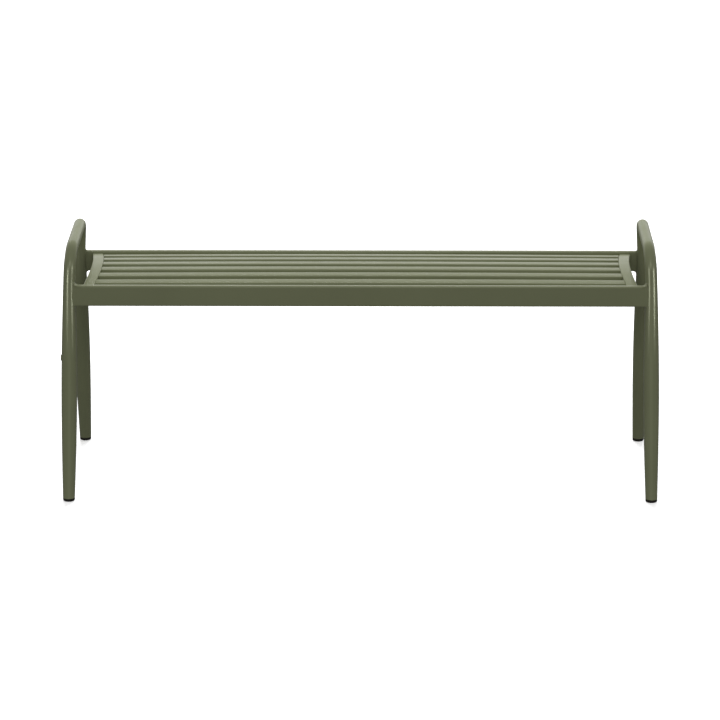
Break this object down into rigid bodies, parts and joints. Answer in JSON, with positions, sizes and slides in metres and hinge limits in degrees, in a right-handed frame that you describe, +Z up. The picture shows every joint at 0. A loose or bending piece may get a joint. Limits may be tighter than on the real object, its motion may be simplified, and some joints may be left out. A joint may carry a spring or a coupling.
{
  "type": "backless bench",
  "caption": "Backless outdoor bench with a gently crowned slatted metal seat between two long rails, on splayed round-tube end frames that rise above the seat as low hand rails",
  "frame": {"origin": "centre of the footprint on the floor, z = 0 under the glides", "axes": "+X along the bench, +Y from front to rear, +Z up"},
  "size_m": [1.2714, 0.444, 0.543],
  "materials": {
    "side_frame": "matt sage-green powder coat with a fine texture, over aluminium",
    "rail": "matt sage-green powder coat with a fine texture, over aluminium",
    "end_bar": "matt sage-green powder coat with a fine texture, over aluminium",
    "slat": "matt sage-green powder coat with a fine texture, over aluminium",
    "cross_support": "matt sage-green powder coat with a fine texture, over aluminium",
    "badge": "matt sage-green powder coat with a fine texture, over aluminium",
    "glide": "black moulded plastic, satin"
  },
  "bodies": {
    "root": {"side_frame_left": "side_frame", "side_frame_right": "side_frame", "front_rail": "rail", "rear_rail": "rail", "end_bar_left": "end_bar", "end_bar_right": "end_bar", "cross_support_left": "cross_support", "cross_support_right": "cross_support", "slat_1": "slat", "slat_2": "slat", "slat_3": "slat", "slat_4": "slat", "slat_5": "slat", "slat_6": "slat", "glide_front_left": "glide", "glide_front_right": "glide", "glide_rear_left": "glide", "glide_rear_right": "glide", "badge_disc": "badge"}
  },
  "joints": []
}
